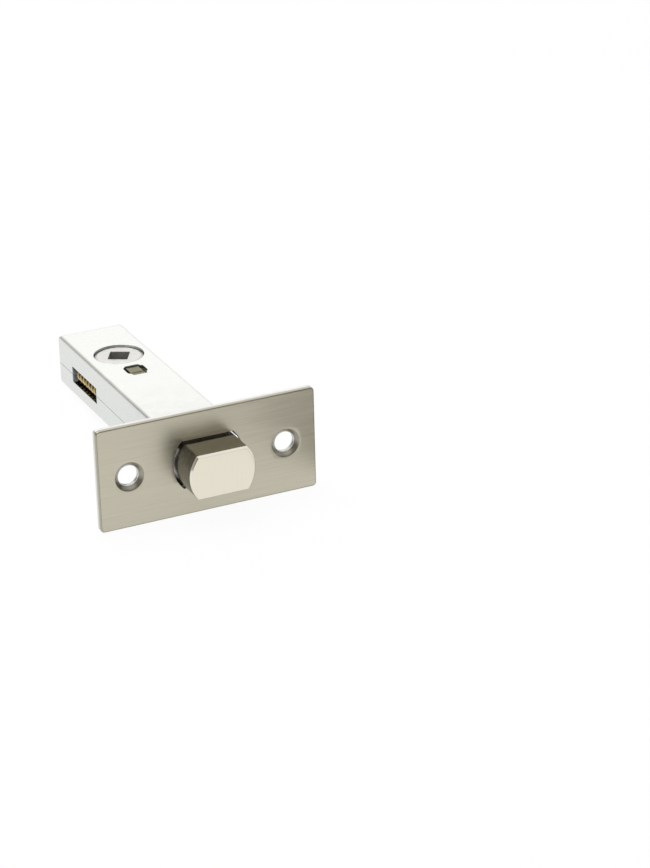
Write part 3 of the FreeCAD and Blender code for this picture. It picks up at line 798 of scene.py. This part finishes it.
class DEADBOLT_OT_case(bpy.types.Operator):
    """Build the folded case with its seam, window, tabs, reliefs, holes, slots and back flap"""

    bl_idname = "deadbolt.case"
    bl_label = "Case"

    def execute(self, context):
        sizes = context.scene.deadbolt_case
        follower = context.scene.deadbolt_follower
        block = context.scene.deadbolt_block
        breaks, centre_x, centre_z, angle, cx, cz = case_blank(sizes)
        radius = sizes.bend
        quarter = radius * np.pi / 2
        upper = sizes.seam_z + sizes.seam_gap / 2

        def left_upper(z):
            return z - upper

        def left_lower(z):
            return breaks[8] + cz + z

        def top(x):
            return breaks[2] + cx + x

        def right(z):
            return breaks[4] + cz - z

        def bottom(x):
            return breaks[6] + cx - x

        window_low = sizes.window_z - sizes.window_half
        window_high = sizes.window_z + sizes.window_half
        tab_low = window_low + sizes.tab_gap
        tab_high = window_high - sizes.tab_gap
        tab_start = sizes.window_front - radius
        tab_stop = sizes.window_rear + radius
        tab_run = quarter + sizes.tab_end - radius
        flap_start = sizes.back - radius
        flap_run = quarter + 2 * cz + (radius - sizes.wall) - sizes.flap_end_gap
        sliver = radius * np.arcsin(sizes.flap_gap / radius)
        relief = sizes.relief_half
        inner = relief - sizes.relief_corner
        bearing_half = 7.2 * MM
        slot_zone_x = 4.6 * MM
        slot_zone_y = 4.05 * MM

        # Lines across the blank, at every bend, opening, tab and zone
        bend_steps = np.linspace(0, quarter, 9)
        lines = list(breaks)
        for start in (breaks[1], breaks[3], breaks[5], breaks[7]):
            lines += list(start + bend_steps)
        corner_steps = np.linspace(inner, relief, 5)
        lines += [left_upper(z) for z in [tab_high, window_high, *corner_steps]]
        lines += [left_lower(z) for z in [tab_low, window_low, *(-corner_steps)]]
        lines += [right(z) for z in [*corner_steps, *(-corner_steps)]]
        wide = [-bearing_half, -slot_zone_x, slot_zone_x, bearing_half]
        lines += [top(x) for x in wide] + [bottom(x) for x in wide]
        lines += [breaks[2] - sliver, breaks[3] + sliver]
        us = stations(lines, 0.6 * MM)

        # Lines along the blank
        relief_start = sizes.relief_end - sizes.relief_corner
        rows = [sizes.front, sizes.back, flap_start, flap_start + quarter, flap_start + flap_run]
        rows += list(np.linspace(relief_start, sizes.relief_end, 5))
        rows += [follower.centre - bearing_half, follower.centre + bearing_half]
        rows += [block.centre - slot_zone_y, block.centre + slot_zone_y]
        rows += list(tab_start + np.linspace(0, quarter, 6)) + [tab_start + tab_run]
        rows += list(tab_stop - np.linspace(0, quarter, 6)) + [tab_stop - tab_run, tab_stop]
        rows += list(flap_start + np.linspace(0, quarter, 8))
        vs = stations(rows, 0.6 * MM)

        solid = np.ones((len(us) - 1, len(vs) - 1), dtype=bool)
        far = 1.0
        solid &= ~cells_in(us, vs, -far, left_upper(relief), -far, sizes.relief_end)
        solid &= ~cells_in(us, vs, left_lower(-relief), far, -far, sizes.relief_end)
        solid &= ~cells_in(us, vs, right(relief), right(-relief), -far, sizes.relief_end)
        solid &= ~cells_in(us, vs, -far, left_upper(window_high), tab_start, tab_stop)
        solid &= ~cells_in(us, vs, left_lower(window_low), far, tab_start, tab_stop)
        for v0, v1 in ((tab_start, tab_start + tab_run), (tab_stop - tab_run, tab_stop)):
            solid |= cells_in(us, vs, -far, left_upper(tab_high), v0, v1)
            solid |= cells_in(us, vs, left_lower(tab_low), far, v0, v1)
        solid &= ~cells_in(us, vs, -far, breaks[2], sizes.back, far)
        solid &= ~cells_in(us, vs, breaks[3], far, sizes.back, far)
        solid &= ~cells_in(us, vs, breaks[2] - sliver, breaks[2], flap_start, far)
        solid &= ~cells_in(us, vs, breaks[3], breaks[3] + sliver, flap_start, far)

        def place(s, y, depth):
            reach = radius - depth
            turn = np.interp(s, breaks, angle)
            x = np.interp(s, breaks, centre_x) + reach * np.cos(turn)
            z = np.interp(s, breaks, centre_z) + reach * np.sin(turn)
            new_y = y + 0 * x

            # Tabs: the wall turns inwards by a quarter, then runs straight
            middle = (tab_start + tab_stop) / 2
            on_left = (s < breaks[1]) | (s > breaks[8])
            in_tab = np.abs(z - sizes.window_z) < sizes.window_half - sizes.tab_gap / 2
            bent = on_left & in_tab & (y > tab_start) & (y < tab_stop)
            near = y < middle
            run = np.where(near, y - tab_start, tab_stop - y)
            bend = np.clip(run / radius, 0, np.pi / 2)
            leg = np.maximum(run - quarter, 0)
            tab_y = np.where(near, tab_start + reach * np.sin(bend), tab_stop - reach * np.sin(bend))
            x = np.where(bent, -cx + leg - reach * np.cos(bend), x)
            new_y = np.where(bent, tab_y, new_y)

            # Back flap: the top turns down by a quarter, then runs straight
            tiny = 1e-6
            folded = (s > breaks[2] - tiny) & (s < breaks[3] + tiny) & (y > flap_start)
            run = y - flap_start
            bend = np.clip(run / radius, 0, np.pi / 2)
            leg = np.maximum(run - quarter, 0)
            z = np.where(folded, cz - leg + reach * np.cos(bend), z)
            new_y = np.where(folded, flap_start + reach * np.sin(bend), new_y)

            # Back corners at the top: the side walls end on the flap's own round
            rise = np.clip((z - cz) / radius, 0, 1)
            beside = (y > flap_start) & ~folded
            new_y = np.where(beside, flap_start + run * np.sqrt(1 - rise**2), new_y)

            # Round corners of the side reliefs
            a = np.abs(z) - inner
            b = new_y - relief_start
            limit = sizes.relief_corner + sizes.edge + tiny
            near_corner = (np.abs(x) > sizes.width / 2 - sizes.wall - tiny)
            near_corner &= (a > 0) & (b > 0) & (a < limit) & (b < limit)
            scale = np.where(near_corner, np.maximum(a, b) / np.maximum(np.hypot(a, b), 1e-12), 1)
            z = np.where(near_corner, np.sign(z) * (inner + a * scale), z)
            new_y = np.where(near_corner, relief_start + b * scale, new_y)
            return np.stack([x, new_y, z], axis=-1)

        bare = np.zeros_like(solid)
        zones = []
        bearing = sizes.bearing / 2
        slot_half_y = sizes.slot_length / 2
        # The bearing holes' walls are darkened as painted shade round the follower's bosses, the slots' walls a
        # little
        for middle in (top(0), bottom(0)):
            zones.append((
                (middle - bearing_half, middle + bearing_half,
                 follower.centre - bearing_half, follower.centre + bearing_half),
                (middle, follower.centre), bearing, bearing, bearing, -0.4,
            ))
            zones.append((
                (middle - slot_zone_x, middle + slot_zone_x,
                 block.centre - slot_zone_y, block.centre + slot_zone_y),
                (middle, block.centre), sizes.slot_half, slot_half_y, sizes.slot_corner, -0.1,
            ))
        edge = rolled(sizes.edge, sizes.edge, sizes.wall)
        for zone in zones:
            bare |= cells_in(us, vs, *zone[0])
        case = Shell()
        # Every cut edge is darkened: bare cut metal, and painted shade in the holes, window and reliefs
        case.sheet(us, vs, solid, bare, edge, place, -0.45)

        # Painted shade in the window: its sills and the bent tabs are darkened; seam and flap edges are plated as the
        # sheet is
        marks = case.marks[-1].reshape(len(edge), len(us), len(vs))
        marks[1:-1, [0, -1]] = -sizes.seam_dull
        beside_flap = (np.abs(us - breaks[2]) < sliver + 1e-6) | (np.abs(us - breaks[3]) < sliver + 1e-6)
        flap_rows = (vs > flap_start - 1e-6) & (vs < sizes.back - 1e-6)
        marks[:, beside_flap[:, None] & flap_rows[None, :]] = 0
        sills = np.abs(us - left_upper(window_high)) < 1e-6
        sills |= np.abs(us - left_lower(window_low)) < 1e-6
        left = (us < left_upper(tab_high) + sizes.edge) | (us > left_lower(tab_low) - sizes.edge)
        rows_in = (vs > tab_start) & (vs < tab_stop)
        marks[1:-1, sills[:, None] & rows_in[None, :]] = -1.0
        marks[:, left[:, None] & rows_in[None, :]] = -sizes.tab_shade
        for zone, centre, half_u, half_v, corner, mark in zones:
            loop = loop_round(us, vs, *zone)

            def outline(inset):
                points = round_box(loop, centre, half_u + inset, half_v + inset, corner + inset)
                if half_u == bearing:
                    return points

                # The slots are wider along the case where the tenon stands
                out = points - np.asarray(centre)
                beside = np.abs(out[:, 0]) < sizes.notch_half + inset
                front = beside & (out[:, 1] < 0)
                rear = beside & (out[:, 1] > 0)
                points[:, 1] -= np.where(front, sizes.notch_front, 0)
                points[:, 1] += np.where(rear, sizes.notch_rear, 0)
                return points

            case.hole(loop[0], outline, edge, 2, place, mark)
        piece = build("folded_case", case, "lock_case", ["case"], finish_for("zinc_plate"))
        even_normals(piece)
        return {"FINISHED"}


def capped(rows):
    """Closes both ends of a row of loops with shrinking copies: the mean point plus a share of the loop."""
    shares = np.array([0.0, 0.35, 0.7])[:, None, None]
    first = rows[0].mean(axis=0)
    last = rows[-1].mean(axis=0)
    start = first + (rows[0] - first) * shares
    stop = last + (rows[-1] - last) * shares[::-1]
    return np.concatenate([start, rows, stop])


class DEADBOLT_OT_bolt(bpy.types.Operator):
    """Build the polished bolt head, and give the tail and its rivets their finish"""

    bl_idname = "deadbolt.bolt"
    bl_label = "Bolt"

    def execute(self, context):
        sizes = context.scene.deadbolt_bolt
        side = np.repeat(np.arange(4), [24, 30, 24, 30])
        share = np.concatenate([np.arange(n) / n for n in (24, 30, 24, 30)])

        def loop(y, inset):
            flat = double_d(side, share, sizes.across / 2 - inset, sizes.flats / 2 - inset)
            return np.stack([flat[:, 0], np.full(len(flat), y), flat[:, 1]], axis=1)

        front = sizes.front
        chamfer = sizes.chamfer
        soft = 0.08 * MM
        rows = [
            loop(front, chamfer + soft),
            loop(front + 0.3 * soft, chamfer - 0.2 * soft),
            loop(front + soft, chamfer - 0.9 * soft),
            loop(front + chamfer - 0.8 * soft, 0.8 * soft),
            loop(front + chamfer + 0.2 * soft, 0.15 * soft),
            loop(front + chamfer + soft, 0),
        ]
        rows += [loop(y, 0) for y in np.linspace(front + chamfer + 0.6 * MM, sizes.round_end, 12)]
        shank = loop(sizes.round_end, 0)
        shank[:, 0] = np.clip(shank[:, 0], -sizes.shank_half, sizes.shank_half)
        low_shank = shank.copy()
        low_shank[:, 2] = np.minimum(low_shank[:, 2], sizes.seat)
        back = low_shank * [1, 0, 1] + [0, sizes.back, 0]
        rows += [shank, shank * [1, 0, 1] + [0, sizes.step, 0], low_shank * [1, 0, 1] + [0, sizes.step, 0], back]
        rows = np.stack(rows)
        # Painted shade: the flats and the round sides are darkened along the whole bolt; the chamfer rows are
        # lighter, as rubbed wear and a painted highlight
        dull = np.where(side % 2 == 0, sizes.flats_shade, sizes.sides_shade)
        marks = np.tile(-dull, (len(rows) + 6, 1))
        marks[:5] = 0
        marks[5:7] = 0.6
        head = Shell()
        head.grid(capped(rows), marks, round_columns=True)
        piece = build("bolt_nose_piece", head, "bolt", ["bolt_head"],
                      finish_for("polished_nickel"), sharp=28)
        soften(piece, sizes.edge, 2)
        kept = {"bolt_tail": "tail_steel", "tail_rivet_left": "rivet_steel", "tail_rivet_right": "rivet_steel"}
        for name, slot in kept.items():
            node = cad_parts[name]
            node.data.materials.clear()
            node.data.materials.append(finish_for(slot))
        return {"FINISHED"}


class DEADBOLT_OT_follower(bpy.types.Operator):
    """Build the follower with its bosses, flanges, square hole, finger and detent lobe"""

    bl_idname = "deadbolt.follower"
    bl_label = "Follower"

    def execute(self, context):
        sizes = context.scene.deadbolt_follower
        count = 96
        centre = np.array([0, sizes.centre])
        around = np.arange(count) / count * 2 * np.pi
        side = np.repeat(np.arange(4), count // 4)
        share = np.tile(np.arange(count // 4) / (count // 4), 4)
        steps = np.full(count, 12)
        turn = np.radians(sizes.turned)
        spin = np.array([[np.cos(turn), np.sin(turn)], [-np.sin(turn), np.cos(turn)]])

        def square(inset, z):
            half = sizes.square / 2 + inset
            flat = round_box((None, side, share, steps), (0, 0), half, half, sizes.square_corner + inset)
            return np.column_stack([flat @ spin + centre, np.full(count, z)])

        # The circle starts where the square's loop starts, at the middle of its lower left corner
        start = -0.75 * np.pi + turn

        def circle(radius, z):
            flat = radius * np.stack([np.cos(around + start), np.sin(around + start)], axis=1)
            return np.column_stack([flat + centre, np.full(count, z)])

        end = sizes.end
        edge = sizes.square_edge
        face = sizes.journal - sizes.chamfer
        soft = 0.06 * MM
        half = [square(edge, end), square(0.3 * edge, end - 0.3 * edge), square(0, end - edge)]
        half = half[::-1] + [circle(face - 1.2 * MM, end), circle(face - soft, end)]
        half += [circle(face + soft, end - 0.5 * soft)]
        half += [circle(sizes.journal - soft, end - sizes.chamfer_depth + 0.6 * soft)]
        half += [circle(sizes.journal, end - sizes.chamfer_depth - soft)]
        half += [circle(sizes.journal, sizes.flange_out), circle(sizes.flange - soft, sizes.flange_out)]
        half += [circle(sizes.flange, sizes.flange_out - soft), circle(sizes.flange, sizes.flange_in + soft)]
        half += [circle(sizes.flange - soft, sizes.flange_in), circle(sizes.hub, sizes.flange_in)]
        half = np.stack(half)
        rows = np.concatenate([half, half[::-1] * [1, 1, -1]])
        # Painted shade: the square hole, the ring of the boss chamfer and all that lies inside the case are darkened;
        # the rim of the boss face is marked lighter
        marks = np.zeros(len(rows))
        marks[[0, 1, -1, -2]] = -0.55
        marks[[4, -5]] = 0.4
        marks[[6, 7, -7, -8]] = -0.45
        marks[8:-8] = -0.6
        body = Shell()
        body.grid(rows, marks[:, None], round_rows=True, round_columns=True)

        def slab(outline, low, high):
            lower = np.column_stack([outline + centre, np.full(len(outline), low)])
            upper = np.column_stack([outline + centre, np.full(len(outline), high)])
            body.grid(capped(np.stack([lower, upper])), 0.0, round_columns=True)

        # Finger: a neck out of the hub and a round tip, turned by half a quarter
        meet = np.arcsin(sizes.finger_neck / sizes.finger_tip)
        tip = np.linspace(-np.pi + meet, np.pi - meet, 24)
        outline = np.stack([sizes.finger_reach + sizes.finger_tip * np.cos(tip), sizes.finger_tip * np.sin(tip)], 1)
        root = np.array([[3.0 * MM, sizes.finger_neck], [3.0 * MM, -sizes.finger_neck]])
        outline = np.concatenate([outline, root])
        lean = np.radians(-45)
        lean = np.array([[np.cos(lean), np.sin(lean)], [-np.sin(lean), np.cos(lean)]])
        slab(outline @ lean, -sizes.finger_half, sizes.finger_half)

        # Detent lobe: at each angle the nearest of the circle, the two flats and the two inner limits
        cos = np.cos(around)
        sin = np.sin(around)
        overlap = 1.6 * MM
        reach_x = np.where(cos > 0, overlap, sizes.lobe_flat) / np.maximum(np.abs(cos), 1e-9)
        reach_y = np.where(sin > 0, sizes.lobe_flat, overlap) / np.maximum(np.abs(sin), 1e-9)
        reach = np.minimum(np.minimum(reach_x, reach_y), sizes.lobe)
        slab(np.stack([reach * cos, reach * sin], axis=1), sizes.lobe_low, sizes.lobe_high)
        build("follower_hub", body, "follower", ["follower"], finish_for("follower_metal"))
        return {"FINISHED"}


class DEADBOLT_OT_spring(bpy.types.Operator):
    """Build the detent spring, a wire wound on a helix with both ends ground flat"""

    bl_idname = "deadbolt.spring"
    bl_label = "Detent spring"

    def execute(self, context):
        sizes = context.scene.deadbolt_spring
        case = context.scene.deadbolt_case
        radius = (sizes.across - sizes.wire) / 2
        wire = sizes.wire / 2
        length = sizes.back - sizes.front
        first = np.pi
        last = first + 2 * np.pi * length / sizes.pitch
        turn = np.linspace(first, last, int(length / sizes.pitch * 30))[:, None]
        around = np.arange(sizes.sides) / sizes.sides * 2 * np.pi
        tilt = np.arctan(sizes.pitch / (2 * np.pi * radius))
        out = radius + wire * np.cos(around)[None]
        across = wire * np.sin(around)[None]
        centre_x = (SPRING_LOW[0] + SPRING_HIGH[0]) / 2

        # Outwards by the wire's cosine, and by its sine square to both the radius and the helix
        x = centre_x + out * np.cos(turn) + across * np.sin(tilt) * np.sin(turn)
        z = case.window_z - out * np.sin(turn) + across * np.sin(tilt) * np.cos(turn)
        y = sizes.front + (turn - first) / (2 * np.pi) * sizes.pitch + across * np.cos(tilt)
        y = np.clip(y, sizes.front, sizes.back)
        coil = Shell()
        coil.grid(capped(np.stack([x, y, z], axis=-1)), 0.0, round_columns=True)
        build("detent_coil", coil, "lock_case", ["detent_spring"], finish_for("spring_wire"), 50)
        return {"FINISHED"}


def slab_block(shell, half_x, y0, y1, z0, z1, edge, groove=0.0, middle=0.0, ends=(False, False)):
    """A block as a thick sheet x, y with rolled edges. A V groove takes groove - |y - middle| off an end."""
    lines = [y0, y1]
    if groove:
        lines += [middle - groove, middle, middle + groove]
    us = stations([-half_x, half_x], 0.5 * MM)
    vs = stations(lines, 0.5 * MM)
    solid = np.ones((len(us) - 1, len(vs) - 1), dtype=bool)
    height = z1 - z0

    def place(u, v, depth):
        cut = np.maximum(groove - np.abs(v - middle), 0)
        z = z1 - depth
        z = np.where((depth < height / 2) & ends[1], z - cut, z)
        z = np.where((depth > height / 2) & ends[0], z + cut, z)
        return np.stack([u + 0 * z, v + 0 * z, z], axis=-1)

    shell.sheet(us, vs, solid, np.zeros_like(solid), rolled(edge, edge, height), place, 0.6)


class DEADBOLT_OT_guide(bpy.types.Operator):
    """Build the guide block with its column and the two staked tenons"""

    bl_idname = "deadbolt.guide"
    bl_label = "Guide block"

    def execute(self, context):
        sizes = context.scene.deadbolt_block
        y = sizes.centre
        edge = 0.12 * MM
        inside = sizes.inside
        block = Shell()
        half = sizes.body_length / 2
        slab_block(block, sizes.body_half, y - half, y + half, -inside, sizes.body_top, edge)
        half = sizes.column_length / 2
        slab_block(block, sizes.tenon_half, y - half, y + half, -inside, inside, edge)
        half = sizes.collar_length / 2
        low = inside - sizes.collar_wall
        slab_block(block, sizes.collar_half, y - half, y + half, low, inside, edge)
        groove = sizes.groove
        for low, high, ends in (
            (inside - 1.0 * MM, sizes.tenon_end, (False, True)),
            (-sizes.tenon_end, -inside + 1.0 * MM, (True, False)),
        ):
            slab_block(
                block, sizes.tenon_half, sizes.tenon_front, sizes.tenon_back, low, high, edge,
                groove, sizes.groove_y, ends,
            )
        piece = build("guide_tenon", block, "lock_case", ["guide_block"],
                      finish_for("yellow_passivate"))
        even_normals(piece)
        return {"FINISHED"}


def studio_world():
    """White all round for camera, glossy and transmission rays, and a plain level for the rest.

    Behind the camera the room is darker above the floor's edge, as a studio is behind its lamps:
    the share is the product of two smooth steps, on how far a direction points to the front and up.
    """
    world = bpy.data.worlds.new("Studio")
    bpy.context.scene.world = world
    world.use_nodes = True
    tree = Tree(world.node_tree)
    plain = world.node_tree.nodes["Background"]
    plain.inputs["Color"].default_value = (1, 1, 1, 1)
    plain.inputs["Strength"].default_value = bpy.context.scene.deadbolt_stage.room_light
    place = tree.node("ShaderNodeTexCoord")
    axes = tree.node("ShaderNodeSeparateXYZ")
    tree.link(place.outputs["Generated"], axes.inputs[0])
    front = tree.spread(axes.outputs[1], -0.15, -0.5, 0, 1)
    up = tree.spread(axes.outputs[2], -0.02, 0.16, 0, 1)
    high = tree.spread(axes.outputs[2], 0.68, 0.82, 1, 0)
    dark = tree.math("MULTIPLY", tree.math("MULTIPLY", front, up), high)
    left = tree.spread(axes.outputs[0], -0.08, -0.30, 0, 0.75)
    low = tree.spread(axes.outputs[2], 0.46, 0.62, 1, 0)
    dark = tree.math("MAXIMUM", dark, tree.math("MULTIPLY", left, low))
    path = tree.node("ShaderNodeLightPath")
    seen = tree.node("ShaderNodeBackground")
    shade = tree.blend(tree.math("MULTIPLY", dark, path.outputs["Is Glossy Ray"]), (1, 1, 1, 1),
                       (0.24, 0.225, 0.205, 1))
    tree.link(shade, seen.inputs["Color"])
    seen.inputs["Strength"].default_value = 1
    rays = tree.math("MAXIMUM", path.outputs["Is Camera Ray"], path.outputs["Is Glossy Ray"])
    rays = tree.math("MAXIMUM", rays, path.outputs["Is Transmission Ray"])
    choose = tree.node("ShaderNodeMixShader")
    tree.link(rays, choose.inputs[0])
    tree.link(plain.outputs[0], choose.inputs[1])
    tree.link(seen.outputs[0], choose.inputs[2])
    tree.link(choose.outputs[0], world.node_tree.nodes["World Output"].inputs["Surface"])


def floor_material():
    """White floor that keeps a faint shadow: mostly its own white where it is seen, plain paint otherwise."""
    material = bpy.data.materials.new("studio floor")
    material.use_nodes = True
    tree = Tree(material.node_tree)
    material.node_tree.nodes.remove(material.node_tree.nodes["Principled BSDF"])
    paint = tree.node("ShaderNodeBsdfDiffuse")
    paint.inputs["Color"].default_value = (0.92, 0.92, 0.92, 1)
    glow = tree.node("ShaderNodeEmission")
    path = tree.node("ShaderNodeLightPath")
    mirrored = tree.math("MAXIMUM", path.outputs["Is Glossy Ray"], path.outputs["Is Transmission Ray"])
    mirrored = tree.math("MULTIPLY", mirrored, 0.86)
    rays = tree.math("MAXIMUM", tree.math("MULTIPLY", path.outputs["Is Camera Ray"], 0.93), mirrored)
    choose = tree.node("ShaderNodeMixShader")
    tree.link(rays, choose.inputs[0])
    tree.link(paint.outputs[0], choose.inputs[1])
    tree.link(glow.outputs[0], choose.inputs[2])
    tree.link(choose.outputs[0], material.node_tree.nodes["Material Output"].inputs["Surface"])
    return material


def card_material():
    """Grey paper with a fine tooth."""
    material = bpy.data.materials.new("grey card")
    material.use_nodes = True
    tree = Tree(material.node_tree)
    shader = material.node_tree.nodes["Principled BSDF"]
    cloud = tree.effect(shared_effect("Clouds"), Scale=80, Speck_scale=900)
    paper = tree.blend(cloud.outputs[0], (0.33, 0.32, 0.30, 1), (0.38, 0.37, 0.35, 1))
    tree.link(paper, shader.inputs["Base Color"])
    shader.inputs["Roughness"].default_value = 0.8
    return material


def soft_lamp(name, place, aim, size, power):
    """A soft square lamp that shines at a point."""
    lamp = bpy.data.lights.new(name, "AREA")
    lamp.shape = "DISK"
    lamp.size = size
    lamp.energy = power
    holder = bpy.data.objects.new(name, lamp)
    bpy.context.scene.collection.objects.link(holder)
    back = np.array(place) - np.array(aim)
    back = back / np.linalg.norm(back)
    right = np.cross([0.0, 1.0, 0.0] if abs(back[2]) > 0.9 else [0.0, 0.0, 1.0], back)
    right = right / np.linalg.norm(right)
    up = np.cross(back, right)
    turned = Matrix(np.column_stack([right, up, back]).tolist()).to_4x4()
    turned.translation = place
    holder.matrix_world = turned
    return holder


class DEADBOLT_OT_stage(bpy.types.Operator):
    """Build the floor, the studio light and the camera"""

    bl_idname = "deadbolt.stage"
    bl_label = "Stage"

    def execute(self, context):
        scene = context.scene
        sizes = scene.deadbolt_stage
        scene.view_settings.view_transform = "Standard"
        studio_world()

        # The deadbolt leans on the lower back edge of its forend and on the back edge of its case
        rise = (CASE_LOW[2] - BASE_LOW[2]) / (CASE_HIGH[1] - BASE_HIGH[1])
        x, y = np.meshgrid(*[np.linspace(-sizes.floor_reach, sizes.floor_reach, 9)] * 2, indexing="ij")
        z = BASE_LOW[2] + (y - BASE_HIGH[1]) * rise - 0.00002
        floor = Shell()
        floor.grid(np.stack([x, y, z], axis=-1))
        mesh = bpy.data.meshes.new("studio_floor")
        mesh.from_pydata(floor.points[0].tolist(), [], floor.faces[0].tolist())
        ground = bpy.data.objects.new("studio_floor", mesh)
        scene.collection.objects.link(ground)
        mesh.materials.append(floor_material())

        soft_lamp("overhead lamp", (-0.15, 0.10, 0.70), (0, 0.03, 0), 0.55, sizes.lamp_power)
        rear = soft_lamp("rear lamp", (0.12, 0.95, 0.55), (0, 0.05, 0), 1.5, sizes.rear_power)
        rear.data.shape = "RECTANGLE"
        rear.data.size_y = 0.75
        rear.data.color = (1.0, 0.935, 0.93)

        # A grey card on the floor ahead and to the right is seen only in the forend's satin face
        x, y = np.meshgrid(np.linspace(0.033, 0.125, 5), np.linspace(-0.095, -0.010, 5), indexing="ij")
        z = BASE_LOW[2] + (y - BASE_HIGH[1]) * rise + 0.001
        card = Shell()
        card.grid(np.stack([x, y, z], axis=-1))
        mesh = bpy.data.meshes.new("grey_card")
        mesh.from_pydata(card.points[0].tolist(), [], card.faces[0].tolist())
        mesh.materials.append(card_material())
        panel = bpy.data.objects.new("grey_card", mesh)
        scene.collection.objects.link(panel)
        panel.visible_camera = False
        panel.visible_shadow = False
        panel.visible_diffuse = False

        camera = bpy.data.cameras.new("photo camera")
        camera.sensor_width = 36
        camera.sensor_fit = "AUTO"
        camera.lens = sizes.lens
        camera.clip_start = 0.01
        camera.clip_end = 20
        holder = bpy.data.objects.new("photo camera", camera)
        scene.collection.objects.link(holder)
        right = (0.90007264, -0.43512162, -0.02320384)
        up = (0.19617231, 0.35709263, 0.9132367)
        back = (-0.38902158, -0.8265591, 0.40677054)
        turned = Matrix((right, up, back)).transposed().to_4x4()
        turned.translation = (-0.2302187, -0.5552651, 0.2733435)
        holder.matrix_world = turned
        scene.camera = holder
        return {"FINISHED"}


class DEADBOLT_PT_sidebar(bpy.types.Panel):
    """Lists the sizes and the pieces of the deadbolt"""

    bl_idname = "DEADBOLT_PT_sidebar"
    bl_label = "Tubular deadbolt"
    bl_space_type = "VIEW_3D"
    bl_region_type = "UI"
    bl_category = "Deadbolt"

    def draw(self, context):
        layout = self.layout
        for operator in OPERATORS:
            layout.operator(operator.bl_idname)
        for name, group in GROUPS.items():
            box = layout.box()
            box.label(text=group.__doc__)
            sizes = getattr(context.scene, name)
            for prop in group.__annotations__:
                box.prop(sizes, prop)


GROUPS = {
    "deadbolt_forend": ForendSizes,
    "deadbolt_case": CaseSizes,
    "deadbolt_bolt": BoltSizes,
    "deadbolt_follower": FollowerSizes,
    "deadbolt_spring": SpringSizes,
    "deadbolt_block": BlockSizes,
    "deadbolt_finishes": Finishes,
    "deadbolt_stage": StageSizes,
}
OPERATORS = (
    DEADBOLT_OT_stage,
    DEADBOLT_OT_forend,
    DEADBOLT_OT_case,
    DEADBOLT_OT_bolt,
    DEADBOLT_OT_follower,
    DEADBOLT_OT_spring,
    DEADBOLT_OT_guide,
)


def register():
    for name, group in GROUPS.items():
        bpy.utils.register_class(group)
        setattr(bpy.types.Scene, name, PointerProperty(type=group))
    for operator in OPERATORS:
        bpy.utils.register_class(operator)
    bpy.utils.register_class(DEADBOLT_PT_sidebar)


def unregister():
    bpy.utils.unregister_class(DEADBOLT_PT_sidebar)
    for operator in reversed(OPERATORS):
        bpy.utils.unregister_class(operator)
    for name, group in GROUPS.items():
        delattr(bpy.types.Scene, name)
        bpy.utils.unregister_class(group)


def main():
    """Registers the classes and builds every piece in order."""
    register()
    bpy.ops.deadbolt.stage()
    bpy.ops.deadbolt.forend()
    bpy.ops.deadbolt.case()
    bpy.ops.deadbolt.bolt()
    bpy.ops.deadbolt.follower()
    bpy.ops.deadbolt.spring()
    bpy.ops.deadbolt.guide()
    bpy.context.view_layer.update()


if __name__ == "__main__":
    main()
